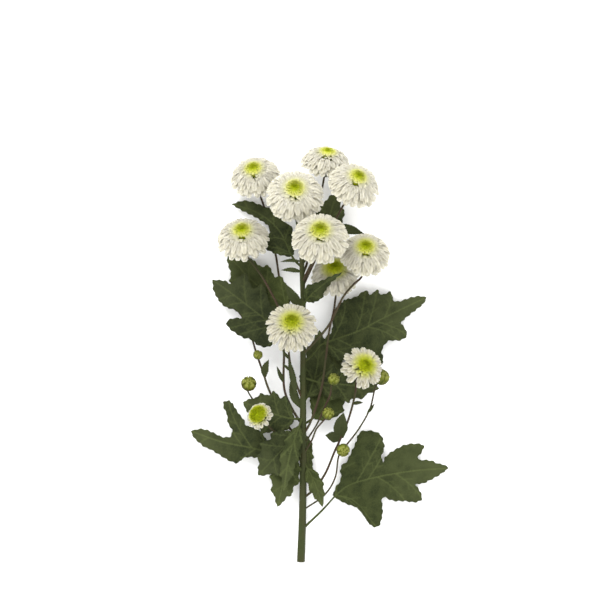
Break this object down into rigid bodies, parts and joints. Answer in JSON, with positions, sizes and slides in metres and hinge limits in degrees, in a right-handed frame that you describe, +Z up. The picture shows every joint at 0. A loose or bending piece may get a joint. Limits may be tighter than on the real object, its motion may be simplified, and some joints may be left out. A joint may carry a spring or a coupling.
{
  "type": "santini chrysanthemum spray",
  "caption": "Cut spray of small white pompon chrysanthemums with lime centres, buds and lobed leaves on branching stems, lying on its side for table, vase or bouquet scenes.",
  "frame": {"origin": "middle of the spray's footprint, on the surface it lies on", "axes": "+Y along the main stem from the cut end to the top blooms, +Z up from the surface, +X to the right with the blooms away from the viewer"},
  "size_m": [0.175, 0.2818, 0.0722],
  "materials": {
    "white_petals": "soft matte white, cream towards the base of each petal",
    "green_florets": "soft matte lime green",
    "bud_skin": "satin yellow green with darker bract edges",
    "main_stem_skin": "satin green, ribbed lengthwise",
    "side_stem_skin": "satin green brown with a purple tinge",
    "leaf_blade": "matte dark grey green with paler veins"
  },
  "bodies": {
    "root": {"main_stem": "main_stem_skin", "bloom_01_petals": "white_petals", "bloom_01_centre": "green_florets", "bloom_01_stem": "side_stem_skin", "bloom_02_petals": "white_petals", "bloom_02_centre": "green_florets", "bloom_02_stem": "side_stem_skin", "bloom_03_petals": "white_petals", "bloom_03_centre": "green_florets", "bloom_03_stem": "side_stem_skin", "bloom_04_petals": "white_petals", "bloom_04_centre": "green_florets", "bloom_05_petals": "white_petals", "bloom_05_centre": "green_florets", "bloom_05_stem": "side_stem_skin", "bloom_06_petals": "white_petals", "bloom_06_centre": "green_florets", "bloom_06_stem": "side_stem_skin", "bloom_07_petals": "white_petals", "bloom_07_centre": "green_florets", "bloom_07_stem": "side_stem_skin", "bloom_08_petals": "white_petals", "bloom_08_centre": "green_florets", "bloom_08_stem": "side_stem_skin", "bloom_09_petals": "white_petals", "bloom_09_centre": "green_florets", "bloom_09_stem": "side_stem_skin", "bloom_10_petals": "white_petals", "bloom_10_centre": "green_florets", "bloom_10_stem": "side_stem_skin", "bloom_11_petals": "white_petals", "bloom_11_centre": "green_florets", "bloom_11_stem": "side_stem_skin", "bud_a_head": "bud_skin", "bud_a_stem": "side_stem_skin", "bud_c_head": "bud_skin", "bud_c_stem": "side_stem_skin", "bud_d_head": "bud_skin", "bud_d_stem": "side_stem_skin", "bud_e_head": "bud_skin", "bud_f_head": "bud_skin", "bud_f_stem": "side_stem_skin", "twin_bud_stem": "side_stem_skin", "leaf_01_wide": "leaf_blade", "leaf_02_threefold": "leaf_blade", "leaf_03_forked": "leaf_blade", "leaf_04_ragged": "leaf_blade", "leaf_05": "leaf_blade", "leaf_06": "leaf_blade", "leaf_07": "leaf_blade", "leaf_08": "leaf_blade", "leaf_09": "leaf_blade", "leaf_10": "leaf_blade", "leaf_11": "leaf_blade", "leaf_12": "leaf_blade", "leaf_13": "leaf_blade", "leaf_14": "leaf_blade", "leaf_15": "leaf_blade", "leaf_16": "leaf_blade", "leaf_17": "leaf_blade"}
  },
  "joints": []
}
